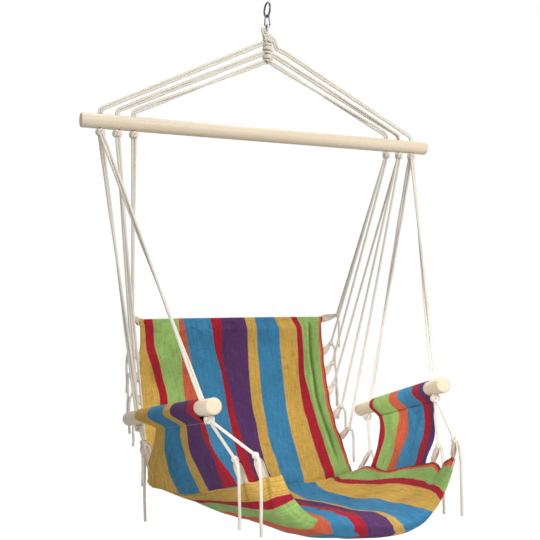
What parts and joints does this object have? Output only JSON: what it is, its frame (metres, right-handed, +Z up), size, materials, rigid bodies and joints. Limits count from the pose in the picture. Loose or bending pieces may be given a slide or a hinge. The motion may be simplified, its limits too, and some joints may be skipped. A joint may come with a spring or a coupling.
{
  "type": "hammock chair",
  "caption": "Hanging hammock chair: a padded striped cloth sling with cloth side panels and wooden armrests, hung by ropes from a wooden spreader bar and a steel ring",
  "frame": {"origin": "the hanging point, where a hook bears inside the top of the steel ring", "axes": "+Z up, +X along the spreader bar, to the right as seen from the front, -Y to the open front of the seat"},
  "size_m": [0.96, 0.7487, 1.3084],
  "materials": {
    "steel": "plated, polished",
    "rope": "twisted cotton rope, matte",
    "wood": "sanded, thin satin varnish",
    "cloth": "plain-weave canvas in woven stripes, matte",
    "ribbon": "woven cotton ribbon, matte"
  },
  "bodies": {
    "ring": {"hanging_ring": "steel"},
    "link": {"rope_link": "steel"},
    "hanger": {"rope_eye": "rope", "eye_lashing": "rope", "spreader_bar": "wood", "fan_rope_left_outer": "rope", "fan_rope_left_middle": "rope", "fan_rope_left_inner": "rope", "fan_rope_right_outer": "rope", "fan_rope_right_middle": "rope", "fan_rope_right_inner": "rope"},
    "seat": {"seat_sling": "cloth", "arm_dowel_left": "wood", "arm_dowel_right": "wood", "side_panel_left": "cloth", "side_panel_right": "cloth", "arm_rope_left_front": "rope", "arm_rope_left_rear": "rope", "arm_rope_right_front": "rope", "arm_rope_right_rear": "rope", "back_rope_left_1": "rope", "back_rope_left_2": "rope", "back_rope_left_3": "rope", "back_rope_left_4": "rope", "back_rope_left_5": "rope", "back_rope_left_6": "rope", "back_rope_right_1": "rope", "back_rope_right_2": "rope", "back_rope_right_3": "rope", "back_rope_right_4": "rope", "back_rope_right_5": "rope", "back_rope_right_6": "rope", "rear_strand_left": "rope", "rear_strand_right": "rope", "front_strand_left_1": "rope", "front_strand_left_2": "rope", "front_strand_right_1": "rope", "front_strand_right_2": "rope", "loop_left_1": "ribbon", "loop_left_2": "ribbon", "loop_left_3": "ribbon", "loop_left_4": "ribbon", "loop_left_5": "ribbon", "loop_left_6": "ribbon", "loop_left_7": "ribbon", "loop_left_8": "ribbon", "loop_left_9": "ribbon", "loop_right_1": "ribbon", "loop_right_2": "ribbon", "loop_right_3": "ribbon", "loop_right_4": "ribbon", "loop_right_5": "ribbon", "loop_right_6": "ribbon", "loop_right_7": "ribbon", "loop_right_8": "ribbon", "loop_right_9": "ribbon"}
  },
  "joints": [
    {"name": "link_swing", "type": "hinge", "parent": "ring", "child": "link", "pos_m": [0, 0, -0.0345], "axis": [0, 1, 0], "range_deg": [-20, 20]},
    {"name": "swing", "type": "hinge", "parent": "link", "child": "hanger", "pos_m": [0, 0, -0.0617], "axis": [1, 0, 0], "range_deg": [-25, 25]},
    {"name": "seat_swing", "type": "hinge", "parent": "hanger", "child": "seat", "pos_m": [0, 0, -0.37206], "axis": [1, 0, 0], "range_deg": [-15, 15]}
  ]
}
